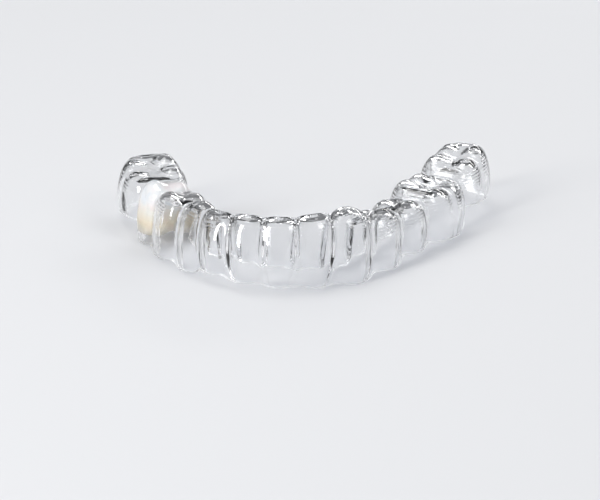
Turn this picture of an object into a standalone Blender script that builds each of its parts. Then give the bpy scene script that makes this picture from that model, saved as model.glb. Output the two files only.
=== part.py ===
"""A clear aligner for a lower dental arch, with a tooth-coloured filling in one empty tooth space.

The aligner is one sheet of clear plastic, pressed hot over the teeth and trimmed near the gum.
So the inside of the sheet is worked out first, as the blend of thirteen crowns and the gum ridge
under them. The outside is the same form with the sheet's thickness put on, and with softer valleys.
Both skins are found by rays that leave the arch's centre line, so their points always match up.

The named sizes are in millimetres, in a frame whose front trimmed edge is at height 0, with the
front teeth towards -Y and the arms towards +Y. The last step lays the aligner on its trimmed edge.
Right and left are as seen from the front: the right arm is towards +X.
"""

import math
from typing import NamedTuple

import bmesh
import bpy
import numpy as np
from mathutils import Vector

MM = 0.001
RIGHT = 1
LEFT = -1

# The arch: depth = ARCH_DEPTH * (half width share) ** power, on each side of the midline
ARCH_DEPTH = 40.0
ARCH_HALF_WIDTH_RIGHT = 28.8
ARCH_HALF_WIDTH_LEFT = 27.8
ARCH_POWER_RIGHT = 2.43
ARCH_POWER_LEFT = 2.04
ARCH_TABLE_REACH = 1.3
ARCH_TABLE_POINTS = 2000
ARCH_STEP = 0.3

# The sheet
SHEET = 0.75
INNER_CORNER = 0.9
OUTER_CORNER = 1.7
INNER_VALLEY = 0.4
OUTER_VALLEY = 0.6

# The gum ridge under the crowns, and the trimmed edge
RIDGE_CORNER = 1.2
BACK_TRIM_FRONT = 2.0
BACK_TRIM_REAR = 0.7
BACK_TRIM_SPAN = 16.0
TRIM_STEP = 0.6
PAPILLA_WIDTH = 1.2

# The crowns
BELLY = 0.4
SHARE_LIMITS = (-0.1, 1.1)
CONTACT_OVERLAP = 1.04
CUSP_TIP = 0.9
CUSP_BLEND = 0.8
RIDGE_PLACE = 0.82
ROOF_LEAN = 0.85
FURROW_WIDTH = 0.9
FAN_LIMITS = (0.6, 1.5)
LEAST_SIZE = 1e-4

# The filling
FILLING_GAP = 0.3
FILLING_END_GAP = 0.5
FILLING_FOOT = 1.8
FILLING_HOLLOW = 0.8

# Where the rays start, and how many there are
WALL_ROWS = 5
ROOF_ROWS = 7
END_SHARE = 0.6
END_MARGIN = 0.3
END_COLUMNS = 11
HALVINGS = 30

SHARP_ANGLE = math.radians(75)

# How it lies on the table: on its front and on both arms, with the trimmed edge level where it touches
FRONT_END = 6.0
ARM_START = 14.0
LAYING_TURNS = 8
FLAT_EDGE = 0.25


class Form(NamedTuple):
    """What crowns of one kind share. Each triple is for the foot, the belly and the top.

    The sink is how far the gum ridge and the spaces between the teeth lie below the crowns' faces.
    """

    face: tuple
    back: tuple
    waist: tuple
    sink: tuple
    squareness: float
    cusps: tuple
    slope: float
    pit: float
    ridge_drop: float
    notch: float
    furrow: float
    scallop: float
    core: float
    stations: int


class Tooth(NamedTuple):
    name: str
    side: int
    form: Form
    width: float
    top: float
    foot: float
    tip: float = 0.0
    shift: float = 0.0


INCISOR = Form(
    face=(2.7, 2.9, 1.5),
    back=(3.2, 2.3, 0.8),
    waist=(0.6, 0.93, 0.94),
    sink=(0.9, 1.5, 1.7),
    squareness=2.0,
    cusps=((0.0, 0.2, 0.0),),
    slope=0.06,
    pit=3.0,
    ridge_drop=3.0,
    notch=1.3,
    furrow=0.0,
    scallop=0.1,
    core=2.6,
    stations=7,
)
CANINE = Form(
    face=(3.4, 3.6, 1.9),
    back=(3.6, 3.0, 1.1),
    waist=(0.78, 0.97, 0.95),
    sink=(0.9, 1.8, 2.0),
    squareness=2.1,
    cusps=((-0.08, 0.4, 0.0),),
    slope=0.45,
    pit=4.0,
    ridge_drop=4.0,
    notch=1.6,
    furrow=0.0,
    scallop=0.2,
    core=3.0,
    stations=7,
)
FIRST_PREMOLAR = Form(
    face=(3.5, 3.8, 2.7),
    back=(3.3, 3.8, 2.9),
    waist=(0.84, 1.0, 0.92),
    sink=(0.8, 1.9, 2.2),
    squareness=2.3,
    cusps=((0.0, 1.9, 0.0), (0.0, -2.2, 1.0)),
    slope=0.5,
    pit=1.8,
    ridge_drop=1.4,
    notch=2.3,
    furrow=0.0,
    scallop=0.3,
    core=3.6,
    stations=7,
)
SECOND_PREMOLAR = FIRST_PREMOLAR._replace(
    back=(3.5, 4.2, 3.2),
    cusps=((0.0, 2.1, 0.0), (-0.3, -2.4, 0.3), (0.4, -2.3, 0.7)),
    squareness=2.5,
)
FIRST_MOLAR = Form(
    face=(4.6, 5.0, 3.9),
    back=(4.4, 5.0, 4.0),
    waist=(0.86, 1.0, 0.93),
    sink=(0.8, 1.9, 2.2),
    squareness=2.7,
    cusps=((-0.48, 3.0, 0.8), (0.36, 3.0, 0.8), (-0.45, -3.0, 0.0), (0.42, -3.0, 0.0)),
    slope=0.55,
    pit=1.6,
    ridge_drop=0.9,
    notch=2.4,
    furrow=0.5,
    scallop=0.3,
    core=4.6,
    stations=11,
)
SECOND_MOLAR = FIRST_MOLAR._replace(
    face=(4.3, 4.6, 3.6),
    back=(4.2, 4.6, 3.6),
    cusps=((-0.45, 2.7, 0.2), (0.4, 2.7, 0.2), (-0.45, -2.7, 0.0), (0.4, -2.7, 0.4)),
)

# From the midline outwards on each side: kind, width, height of the crown and of its trimmed edge.
# The left first premolar's tongue side is as tall as a second premolar's, so it takes that form.
TEETH = (
    Tooth("right central incisor", RIGHT, INCISOR, 5.2, 10.4, 0.1),
    Tooth("right lateral incisor", RIGHT, INCISOR, 5.8, 10.8, 0.0, 3.0),
    Tooth("right canine", RIGHT, CANINE, 6.5, 11.5, 0.05),
    Tooth("right first premolar", RIGHT, FIRST_PREMOLAR, 6.9, 10.3, 1.15, 0.0, -0.2),
    Tooth("right second premolar", RIGHT, SECOND_PREMOLAR, 7.0, 10.4, 2.7, 0.0, -0.1),
    Tooth("right first molar", RIGHT, FIRST_MOLAR, 11.6, 12.0, 3.3, 0.0, -0.1),
    Tooth("right second molar", RIGHT, SECOND_MOLAR, 11.8, 14.5, 6.9, 15.0, -0.4),
    Tooth("left central incisor", LEFT, INCISOR, 5.2, 10.4, 0.45),
    Tooth("left lateral incisor", LEFT, INCISOR, 5.6, 10.1, 0.95),
    Tooth("left canine", LEFT, CANINE, 6.4, 10.5, -0.1, 0.0, -0.8),
    Tooth("left first premolar", LEFT, SECOND_PREMOLAR, 7.1, 10.7, 0.5, 0.0, 0.2),
    Tooth("left second premolar", LEFT, SECOND_PREMOLAR, 6.6, 11.0, 1.2, 0.0, 0.5),
    Tooth("left first molar", LEFT, FIRST_MOLAR, 11.1, 12.1, 3.9, 12.0, 0.3),
)
FILLED_TOOTH = "left second premolar"


class Columns(NamedTuple):
    """Rows of rays, one above the other: where each column starts, which way it looks and what is there."""

    start: np.ndarray
    look: np.ndarray
    top_index: np.ndarray
    place: np.ndarray
    facing: np.ndarray


def smooth_min(a, b, blend):
    overlap = np.maximum(blend - np.abs(a - b), 0.0) / blend
    return np.minimum(a, b) - overlap * overlap * blend / 4


def smooth_max(a, b, blend):
    return -smooth_min(-a, -b, blend)


def through(triple, share):
    """The parabola through a value at the foot, one at the belly and one at the top."""
    foot, belly, top = triple
    h = np.clip(share, *SHARE_LIMITS)
    return (
        foot * (h - BELLY) * (h - 1) / BELLY
        + belly * h * (h - 1) / (BELLY * (BELLY - 1))
        + top * h * (h - BELLY) / (1 - BELLY)
    )


def arch_table(half_width, power):
    """Places along one half of the arch: (length from the midline, x, y)."""
    x = np.linspace(0.0, ARCH_TABLE_REACH * half_width, ARCH_TABLE_POINTS)
    y = ARCH_DEPTH * (x / half_width) ** power
    steps = np.hypot(np.diff(x), np.diff(y))
    return np.concatenate([[0.0], np.cumsum(steps)]), x, y


ARCH_TABLES = {
    RIGHT: arch_table(ARCH_HALF_WIDTH_RIGHT, ARCH_POWER_RIGHT),
    LEFT: arch_table(ARCH_HALF_WIDTH_LEFT, ARCH_POWER_LEFT),
}


def arch_half(place, side):
    length, x, y = ARCH_TABLES[side]
    across = side * np.interp(side * place, length, x)
    return np.stack([across, np.interp(side * place, length, y)], axis=-1)


def arch(place):
    """Points of the arch at lengths from the midline, positive on the right."""
    place = np.asarray(place, float)[..., None]
    return np.where(place >= 0, arch_half(place[..., 0], RIGHT), arch_half(place[..., 0], LEFT))


def arch_frame(place):
    """Point, direction to the right along the arch, and direction out towards the lips and cheeks."""
    place = np.asarray(place, float)
    ahead = arch(place + ARCH_STEP) - arch(place - ARCH_STEP)
    along = ahead / np.linalg.norm(ahead, axis=-1, keepdims=True)
    return arch(place), along, np.stack([along[..., 1], -along[..., 0]], axis=-1)


class Crown:
    """One crown in its place: its middle, its directions and the form of its faces."""

    def __init__(self, tooth, near):
        self.tooth = tooth
        self.near = near
        self.far = near + tooth.side * tooth.width
        self.middle = (self.near + self.far) / 2
        self.centre, self.along, self.out = arch_frame(self.middle)
        self.centre = self.centre + tooth.shift * self.out
        turn = arch_frame(self.near)[2] - arch_frame(self.far)[2]
        self.fan = float(np.linalg.norm(turn)) / tooth.width

    def height_share(self, z):
        return (z - self.tooth.foot) / (self.tooth.top - self.tooth.foot)

    def occlusal(self, distal, out):
        """Height of the biting surface below the crown's top."""
        form = self.tooth.form
        half = self.tooth.width / 2
        height = np.full(np.shape(distal), -form.pit)
        for share, across, drop in form.cusps:
            run = np.hypot(distal - share * half, out - across)
            cone = -drop - form.slope * (np.hypot(run, CUSP_TIP) - CUSP_TIP)
            height = smooth_max(height, cone, CUSP_BLEND)
        edge = np.abs(np.abs(distal) - RIDGE_PLACE * half)
        return smooth_max(height, -form.ridge_drop - form.slope * edge, CUSP_BLEND)

    def field(self, x, y, z, corner):
        """Roughly the distance to this crown's surface, negative inside it."""
        form = self.tooth.form
        dx = x - self.centre[0]
        dy = y - self.centre[1]
        distal = self.tooth.side * (dx * self.along[0] + dy * self.along[1])
        out = dx * self.out[0] + dy * self.out[1]
        share = self.height_share(z)
        half = CONTACT_OVERLAP * self.tooth.width / 2 * through(form.waist, share)
        half = half * np.clip(1 + self.fan * out, *FAN_LIMITS)
        depth = np.where(out > 0, through(form.face, share), through(form.back, share))
        depth = depth - form.furrow * np.exp(-((distal / FURROW_WIDTH) ** 2)) * np.clip(share, 0, 1) ** 2
        n = form.squareness
        size = (np.abs(distal / half) ** n + np.abs(out / depth) ** n) ** (1 / n)
        reach = np.hypot(distal, out)
        wall = reach - reach / np.maximum(size, LEAST_SIZE)
        lean = math.tan(math.radians(self.tooth.tip)) * distal
        roof = z - self.tooth.top - lean - self.occlusal(distal, out)
        return smooth_max(wall, ROOF_LEAN * roof, corner)


def place_crowns():
    """All crowns from the end of the left arm to the end of the right arm."""
    crowns = []
    for side in (LEFT, RIGHT):
        near = 0.0
        for tooth in (tooth for tooth in TEETH if tooth.side == side):
            crowns.append(Crown(tooth, near))
            near = crowns[-1].far
    return sorted(crowns, key=lambda crown: crown.middle)


CROWNS = place_crowns()
MIDDLES = np.array([crown.middle for crown in CROWNS])


def along_arch(place, value):
    """A value of each crown, carried smoothly from one crown's middle to the next."""
    values = np.array([value(crown) for crown in CROWNS])
    index = np.clip(np.searchsorted(MIDDLES, place) - 1, 0, len(CROWNS) - 2)
    share = np.clip((place - MIDDLES[index]) / (MIDDLES[index + 1] - MIDDLES[index]), 0, 1)
    share = share * share * (3 - 2 * share)
    return values[index] * (1 - share) + values[index + 1] * share


def trim_height(place, facing):
    """Height of the trimmed edge: level on each tooth, with a step and a peak where two teeth meet."""
    height = np.full(np.shape(place), CROWNS[0].tooth.foot)
    for before, after in zip(CROWNS, CROWNS[1:]):
        away = place - before.middle - before.tooth.width / 2
        height = height + (after.tooth.foot - before.tooth.foot) * (1 + np.tanh(away / TRIM_STEP)) / 2
        peak = (before.tooth.form.scallop + after.tooth.form.scallop) / 2
        height = height + peak * np.exp(-((away / PAPILLA_WIDTH) ** 2))
    front = np.exp(-((place / BACK_TRIM_SPAN) ** 2))
    rise = BACK_TRIM_REAR + (BACK_TRIM_FRONT - BACK_TRIM_REAR) * front
    return height + np.where(facing < 0, rise, 0.0)


def station_places():
    """Places of the cross-sections, closer together where two teeth meet."""
    first = CROWNS[0]
    last = CROWNS[-1]
    places = []
    for crown in CROWNS:
        count = crown.tooth.form.stations
        start = crown.middle - crown.tooth.width / 2
        shares = (1 - np.cos(np.pi * np.arange(count) / count)) / 2
        places.extend(start + crown.tooth.width * shares)
    places = np.array(places)
    low = first.near - END_SHARE * first.tooth.width
    high = last.near + END_SHARE * last.tooth.width
    places = places[(places > low + END_MARGIN) & (places < high - END_MARGIN)]
    return np.concatenate([[low], places, [high]])


def make_columns(places):
    """A closed ring of columns: the outer face, round the right end, the inner face, round the left end."""
    point, along, out = arch_frame(places)
    last = len(places) - 1
    turns = np.pi * np.arange(1, END_COLUMNS + 1) / (END_COLUMNS + 1)
    start, look, top, place, facing = [], [], [], [], []

    def add(index, direction, side):
        start.append(point[index])
        look.append(direction)
        top.append(index)
        place.append(places[index])
        facing.append(side)

    for index in range(last + 1):
        add(index, out[index], 1.0)
    for turn in turns:
        add(last, math.cos(turn) * out[last] + math.sin(turn) * along[last], math.cos(turn))
    for index in range(last, -1, -1):
        add(index, -out[index], -1.0)
    for turn in turns:
        add(0, -math.cos(turn) * out[0] - math.sin(turn) * along[0], -math.cos(turn))
    return Columns(*(np.array(values) for values in (start, look, top, place, facing)))


def form_depth(place, part, share):
    """One of the forms' triples, carried along the arch and read at a share of the height."""
    triple = [along_arch(place, lambda crown: getattr(crown.tooth.form, part)[k])[:, None] for k in range(3)]
    return through(triple, share)


def ridge_field(columns, run, z, corner):
    """The gum ridge and the filled spaces between crowns, in each column's own plane."""
    foot = along_arch(columns.place, lambda crown: crown.tooth.foot)[:, None]
    top = along_arch(columns.place, lambda crown: crown.tooth.top)[:, None]
    notch = along_arch(columns.place, lambda crown: crown.tooth.form.notch)[:, None]
    share = (z - foot) / (top - foot)
    face, back, sink = (form_depth(columns.place, part, share) for part in ("face", "back", "sink"))
    shift = along_arch(columns.place, lambda crown: crown.tooth.shift)[:, None]
    outer = (1 + columns.facing[:, None]) / 2
    reach = face * outer + back * (1 - outer) + shift * columns.facing[:, None]
    end = np.sqrt(1 - np.clip(columns.facing[:, None] ** 2, 0, 1))
    widths = np.where(columns.place > 0, CROWNS[-1].tooth.width, CROWNS[0].tooth.width)[:, None]
    reach = reach * (1 - end) + (1 - END_SHARE) * widths * end
    return smooth_max(run - reach + sink, z - top + notch, corner)


def form_field(columns, points, run, outside):
    """The whole form under the sheet, or with the sheet put on."""
    thickness = SHEET if outside else 0.0
    corner = OUTER_CORNER if outside else INNER_CORNER
    valley = OUTER_VALLEY if outside else INNER_VALLEY
    x, y, z = points[..., 0], points[..., 1], points[..., 2]
    total = ridge_field(columns, run, z, RIDGE_CORNER) - thickness
    for crown in CROWNS:
        total = smooth_min(total, crown.field(x, y, z, corner) - thickness, valley)
    return total


def ray_rows(columns, low):
    """Start height and slope of each ray: level rays up the wall, then a fan over the top."""
    core = along_arch(columns.place, lambda crown: crown.tooth.form.core)
    centre = along_arch(columns.place, lambda crown: crown.tooth.top) - core
    deep = along_arch(columns.place, lambda crown: crown.tooth.form.face[2])
    shares = np.arange(WALL_ROWS) / WALL_ROWS
    turns = np.pi / 2 * np.arange(ROOF_ROWS) / ROOF_ROWS
    wall = np.ones((len(low), WALL_ROWS))
    roof = np.ones((len(low), ROOF_ROWS))
    start = np.hstack([low[:, None] + (centre - low)[:, None] * shares, centre[:, None] * roof])
    across = np.hstack([wall, deep[:, None] * np.cos(turns)])
    up = np.hstack([0 * wall, core[:, None] * np.sin(turns)])
    length = np.hypot(across, up)
    return start, across / length, up / length


def ray_points(columns, start, across, up, reach):
    flat = (reach * across)[..., None] * columns.look[:, None, :]
    spot = columns.start[:, None, :] + flat
    return np.concatenate([spot, (start + reach * up)[..., None]], axis=-1)


def cast_rays(columns, start, across, up, outside):
    """How far each ray goes before it leaves the form, by halving. No crown is deeper than the widest."""
    low = np.zeros(start.shape)
    high = np.full(start.shape, max(tooth.width for tooth in TEETH))
    for _ in range(HALVINGS):
        middle = (low + high) / 2
        points = ray_points(columns, start, across, up, middle)
        inside = form_field(columns, points, middle * across, outside) < 0
        low = np.where(inside, middle, low)
        high = np.where(inside, high, middle)
    return (low + high) / 2


def top_columns(places):
    point, _, out = arch_frame(places)
    index = np.arange(len(places))
    return Columns(point, out, index, places, np.ones(len(places)))


def skin(places, columns, low, outside, inset=0.0):
    """Points of one skin: those of the columns, row by row, and those along the top."""
    start, across, up = ray_rows(columns, low)
    reach = cast_rays(columns, start, across, up, outside) - inset
    crest = top_columns(places)
    middle = along_arch(places, lambda crown: crown.tooth.top - crown.tooth.form.core)[:, None]
    level = np.zeros(middle.shape)
    rise = cast_rays(crest, middle, level, level + 1, outside) - inset
    return (
        ray_points(columns, start, across, up, reach),
        ray_points(crest, middle, level, level + 1, rise)[:, 0],
    )


class Shell(NamedTuple):
    places: np.ndarray
    columns: Columns
    inner: tuple
    outer: tuple


def make_shell():
    places = station_places()
    columns = make_columns(places)
    low = trim_height(columns.place, columns.facing)
    return Shell(places, columns, skin(places, columns, low, False), skin(places, columns, low, True))


def settle(points):
    """The turn and lift that lay the points on a table, on the front and on the two arms."""
    groups = (
        points[:, 1] < FRONT_END,
        (points[:, 0] < 0) & (points[:, 1] > ARM_START),
        (points[:, 0] > 0) & (points[:, 1] > ARM_START),
    )
    turn = np.eye(3)
    for _ in range(LAYING_TURNS):
        laid = points @ turn.T
        feet = [laid[group][np.argmin(laid[group][:, 2])] for group in groups]
        normal = np.cross(feet[1] - feet[0], feet[2] - feet[0])
        normal = Vector(normal * np.sign(normal[2]))
        turn = np.array(normal.rotation_difference(Vector((0, 0, 1))).to_matrix()) @ turn
    laid = points @ turn.T
    lift = laid[:, 2].min()
    middle = (laid.min(0) + laid.max(0)) / 2
    return turn, np.array([-middle[0], -middle[1], -lift - FLAT_EDGE])


def lay(points, turn, move):
    """Points laid on the table. Where the trimmed edge would dip below it, it is cut level."""
    laid = points @ turn.T + move
    laid[..., 2] = np.maximum(laid[..., 2], 0.0)
    return laid


def shell_faces(count, rows, top_index, first, crest, flip):
    """Faces of one skin. Columns start at vertex `first`, the points along the top at `crest`."""
    faces = []
    for column in range(count):
        other = (column + 1) % count
        left = first + column * rows
        right = first + other * rows
        for row in range(rows - 1):
            faces.append([left + row, right + row, right + row + 1, left + row + 1])
        here = crest + top_index[column]
        there = crest + top_index[other]
        face = [left + rows - 1, right + rows - 1, there]
        faces.append(face if here == there else face + [here])
    return [face[::-1] for face in faces] if flip else faces


def new_object(name, points, faces, material):
    mesh = bpy.data.meshes.new(name)
    mesh.from_pydata([tuple(point) for point in np.asarray(points) * MM], [], faces)
    form = bmesh.new()
    form.from_mesh(mesh)
    bmesh.ops.triangulate(form, faces=form.faces, quad_method="SHORT_EDGE")
    bmesh.ops.recalc_face_normals(form, faces=form.faces)
    form.to_mesh(mesh)
    form.free()
    mesh.materials.append(material)
    mesh.shade_smooth()
    mesh.set_sharp_from_angle(angle=SHARP_ANGLE)
    thing = bpy.data.objects.new(name, mesh)
    bpy.context.scene.collection.objects.link(thing)
    return thing


def add_shell(shell, turn, move, material):
    """One closed sheet: the inner skin, the outer skin and the cut edge that joins them."""
    top_index = shell.columns.top_index
    count, rows = shell.inner[0].shape[:2]
    blocks = []
    for wall, crest in (shell.inner, shell.outer):
        blocks += [wall.reshape(-1, 3), crest]
    half = count * rows + len(shell.places)
    faces = shell_faces(count, rows, top_index, 0, count * rows, True)
    faces += shell_faces(count, rows, top_index, half, half + count * rows, False)
    for column in range(count):
        other = (column + 1) % count
        faces.append([column * rows, other * rows, half + other * rows, half + column * rows])
    return new_object("aligner_shell", lay(np.concatenate(blocks), turn, move), faces, material)


def filling_places():
    """Cross-sections of the filling, from one end of its tooth space to the other."""
    crown = next(crown for crown in CROWNS if crown.tooth.name == FILLED_TOOTH)
    reach = crown.tooth.width / 2 - FILLING_END_GAP
    count = crown.tooth.form.stations
    return crown.middle - reach * np.cos(np.pi * np.arange(count + 1) / count)


def add_filling(turn, move, material):
    """The filling follows the inside of the sheet and stops above the gum with a hollow underside."""
    places = filling_places()
    point, _, out = arch_frame(places)
    ones = np.ones(len(places))
    index = np.arange(len(places))
    foot = trim_height(places, ones).min() + FILLING_FOOT + 0 * ones
    face = Columns(point, out, index, places, ones)
    back = Columns(point, -out, index, places, -ones)
    face_points, crest = skin(places, face, foot, False, FILLING_GAP)
    back_points, _ = skin(places, back, foot, False, FILLING_GAP)
    under = np.concatenate([point, (foot + FILLING_HOLLOW)[:, None]], axis=1)
    rings = np.concatenate([face_points, crest[:, None], back_points[:, ::-1], under[:, None]], axis=1)
    count, size = rings.shape[:2]
    faces = []
    for station in range(count - 1):
        for k in range(size):
            after = (k + 1) % size
            here = station * size
            there = here + size
            faces.append([here + k, here + after, there + after, there + k])
    points = list(rings.reshape(-1, 3))
    for station in (0, count - 1):
        points.append((crest[station] + under[station]) / 2)
        centre = len(points) - 1
        faces += [[station * size + k, station * size + (k + 1) % size, centre] for k in range(size)]
    return new_object("pontic_filling", lay(np.array(points), turn, move), faces, material)


def make_material(name, colour, roughness, transmission):
    material = bpy.data.materials.new(name)
    material.use_nodes = True
    shader = material.node_tree.nodes["Principled BSDF"]
    shader.inputs["Base Color"].default_value = (*colour, 1.0)
    shader.inputs["Roughness"].default_value = roughness
    shader.inputs["Metallic"].default_value = 0.0
    shader.inputs["IOR"].default_value = 1.5
    shader.inputs["Transmission Weight"].default_value = transmission
    return material


def clear_scene():
    for thing in list(bpy.data.objects):
        bpy.data.objects.remove(thing)


def main():
    clear_scene()
    shell = make_shell()
    cloud = np.concatenate([shell.inner[0][:, 0], shell.outer[0].reshape(-1, 3)])
    turn, move = settle(cloud)
    add_shell(shell, turn, move, make_material("clear_sheet", (0.95, 0.95, 0.96), 0.08, 1.0))
    add_filling(turn, move, make_material("tooth_white", (0.9, 0.88, 0.82), 0.3, 0.0))


main()
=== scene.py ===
# %% [markdown]
# # A clear aligner with one white tooth
#
# An aligner is a single thin sheet of clear plastic, pressed hot over a row of teeth and trimmed
# near the gum. This one is for the lower teeth, and one of its tooth wells is filled with white
# resin, so that a gap in the row looks like a tooth. Almost everything that the eye reads here is
# reflection and refraction, so the lesson spends its effort on two things: a very smooth sheet with
# a true thickness, and plain lamps that put long soft highlights on it.

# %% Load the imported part
import math
from typing import NamedTuple

import bpy
import numpy as np
from mathutils import Matrix, Vector


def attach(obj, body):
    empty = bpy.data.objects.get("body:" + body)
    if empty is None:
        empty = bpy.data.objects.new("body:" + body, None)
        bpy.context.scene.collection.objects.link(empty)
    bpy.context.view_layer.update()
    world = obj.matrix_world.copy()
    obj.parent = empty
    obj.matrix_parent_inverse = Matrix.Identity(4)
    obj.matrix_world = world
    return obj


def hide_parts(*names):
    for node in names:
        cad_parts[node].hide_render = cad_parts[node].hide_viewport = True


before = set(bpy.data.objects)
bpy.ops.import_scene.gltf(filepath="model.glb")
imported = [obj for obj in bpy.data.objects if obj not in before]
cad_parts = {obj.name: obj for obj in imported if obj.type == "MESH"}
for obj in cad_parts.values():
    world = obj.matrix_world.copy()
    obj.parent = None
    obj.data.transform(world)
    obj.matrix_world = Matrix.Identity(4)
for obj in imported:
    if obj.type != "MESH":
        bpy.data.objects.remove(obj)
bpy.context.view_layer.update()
MM = 0.001
print("frame nodes:", sorted(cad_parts))

# %% [markdown]
# ## The camera
#
# The camera comes first, because every later choice is judged through it. A long lens far away
# keeps the two arms of the arch nearly the same size, as in a product photograph taken from a
# little above the front teeth. The place is worked out from a target, a distance and three angles,
# which is easier to adjust than a matrix.

# %% Camera
VIEW_TARGET = Vector((-2.08, -0.12, 2.86)) * MM
VIEW_DISTANCE = 638.2 * MM
VIEW_AZIMUTH = math.radians(8.56)
VIEW_ELEVATION = math.radians(21.89)
VIEW_ROLL = math.radians(-0.6)
LENS_MM = 229.3
SENSOR_MM = 36
FRAME_SHIFT = (0.0321, -0.0453)
CLIP_RANGE = (0.01, 20)


def add_camera():
    data = bpy.data.cameras.new("view")
    data.sensor_width = SENSOR_MM
    data.lens = LENS_MM
    data.shift_x, data.shift_y = FRAME_SHIFT
    data.clip_start, data.clip_end = CLIP_RANGE
    camera = bpy.data.objects.new("view", data)
    bpy.context.scene.collection.objects.link(camera)
    turn = Matrix.Rotation(VIEW_AZIMUTH, 4, "Z") @ Matrix.Rotation(math.pi / 2 - VIEW_ELEVATION, 4, "X")
    turn = turn @ Matrix.Rotation(VIEW_ROLL, 4, "Z")
    back = turn @ Vector((0, 0, VIEW_DISTANCE))
    camera.matrix_world = Matrix.Translation(VIEW_TARGET + back) @ turn
    bpy.context.scene.camera = camera
    return camera


camera = add_camera()
print("camera at", [round(value, 3) for value in camera.location])

# %% [markdown]
# ## The line of the arch
#
# All teeth stand along one curve, deeper at the back than a circle would be. Each half of the curve
# is a power of the width, and the two halves differ a little, as they do in a real mouth. A table of
# lengths along the curve lets later code ask for "the point 12 mm to the right of the midline". The
# sizes are in millimetres until the very end.

# %% The arch
RIGHT = 1
LEFT = -1
ARCH_DEPTH = 40.0
ARCH_HALF_WIDTH_RIGHT = 28.8
ARCH_HALF_WIDTH_LEFT = 27.8
ARCH_POWER_RIGHT = 2.43
ARCH_POWER_LEFT = 2.04
ARCH_TABLE_REACH = 1.3
ARCH_TABLE_POINTS = 2000
ARCH_STEP = 0.3


def arch_table(half_width, power):
    """Places along one half of the arch: (length from the midline, x, y)."""
    x = np.linspace(0.0, ARCH_TABLE_REACH * half_width, ARCH_TABLE_POINTS)
    y = ARCH_DEPTH * (x / half_width) ** power
    steps = np.hypot(np.diff(x), np.diff(y))
    return np.concatenate([[0.0], np.cumsum(steps)]), x, y


ARCH_TABLES = {
    RIGHT: arch_table(ARCH_HALF_WIDTH_RIGHT, ARCH_POWER_RIGHT),
    LEFT: arch_table(ARCH_HALF_WIDTH_LEFT, ARCH_POWER_LEFT),
}


def arch_half(place, side):
    length, x, y = ARCH_TABLES[side]
    across = side * np.interp(side * place, length, x)
    return np.stack([across, np.interp(side * place, length, y)], axis=-1)


def arch(place):
    """Points of the arch at lengths from the midline, positive on the right."""
    place = np.asarray(place, float)[..., None]
    return np.where(place >= 0, arch_half(place[..., 0], RIGHT), arch_half(place[..., 0], LEFT))


def arch_frame(place):
    """Point, direction to the right along the arch, and direction out towards the lips."""
    place = np.asarray(place, float)
    ahead = arch(place + ARCH_STEP) - arch(place - ARCH_STEP)
    along = ahead / np.linalg.norm(ahead, axis=-1, keepdims=True)
    return arch(place), along, np.stack([along[..., 1], -along[..., 0]], axis=-1)


# %% [markdown]
# ## Kinds of crown
#
# The crowns differ, but they belong to a few kinds. A kind says how far the crown bulges towards
# the lips and the tongue at its foot, its belly and its top, how wide its waist is, how deep the
# spaces beside it lie, and where its cusps stand. Writing the kinds once keeps thirteen teeth down
# to thirteen short lines: kind, width, heights, tilt and place. The left first premolar takes the
# second premolar's kind, because its tongue side stands as tall.


# %% Crown kinds and the row of teeth
class Form(NamedTuple):
    """What crowns of one kind share. Each triple is for the foot, the belly and the top."""

    face: tuple
    back: tuple
    waist: tuple
    sink: tuple
    squareness: float
    cusps: tuple
    slope: float
    pit: float
    ridge_drop: float
    notch: float
    furrow: float
    scallop: float
    core: float
    stations: int


class Tooth(NamedTuple):
    name: str
    side: int
    form: Form
    width: float
    top: float
    foot: float
    tip: float = 0.0
    shift: float = 0.0


INCISOR = Form(
    face=(2.7, 2.9, 1.5),
    back=(3.2, 2.3, 0.8),
    waist=(0.6, 0.93, 0.94),
    sink=(0.9, 1.5, 1.7),
    squareness=2.0,
    cusps=((0.0, 0.2, 0.0),),
    slope=0.06,
    pit=3.0,
    ridge_drop=3.0,
    notch=1.3,
    furrow=0.0,
    scallop=0.1,
    core=2.6,
    stations=14,
)
CANINE = Form(
    face=(3.4, 3.6, 1.9),
    back=(3.6, 3.0, 1.1),
    waist=(0.78, 0.97, 0.95),
    sink=(0.9, 1.8, 2.0),
    squareness=2.1,
    cusps=((-0.08, 0.4, 0.0),),
    slope=0.45,
    pit=4.0,
    ridge_drop=4.0,
    notch=1.6,
    furrow=0.0,
    scallop=0.2,
    core=3.0,
    stations=16,
)
FIRST_PREMOLAR = Form(
    face=(3.5, 3.8, 2.7),
    back=(3.3, 3.8, 2.9),
    waist=(0.84, 1.0, 0.92),
    sink=(0.8, 1.9, 2.2),
    squareness=2.3,
    cusps=((0.0, 1.9, 0.0), (0.0, -2.2, 1.0)),
    slope=0.5,
    pit=1.8,
    ridge_drop=1.4,
    notch=2.3,
    furrow=0.0,
    scallop=0.3,
    core=3.6,
    stations=17,
)
SECOND_PREMOLAR = FIRST_PREMOLAR._replace(
    back=(3.5, 4.2, 3.2),
    cusps=((0.0, 2.1, 0.0), (-0.3, -2.4, 0.3), (0.4, -2.3, 0.7)),
    squareness=2.5,
)
FIRST_MOLAR = Form(
    face=(4.6, 5.0, 3.9),
    back=(4.4, 5.0, 4.0),
    waist=(0.86, 1.0, 0.93),
    sink=(0.8, 1.9, 2.2),
    squareness=2.7,
    cusps=((-0.48, 3.0, 0.8), (0.36, 3.0, 0.8), (-0.45, -3.0, 0.0), (0.42, -3.0, 0.0)),
    slope=0.55,
    pit=1.6,
    ridge_drop=0.9,
    notch=2.4,
    furrow=0.5,
    scallop=0.3,
    core=4.6,
    stations=26,
)
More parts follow.
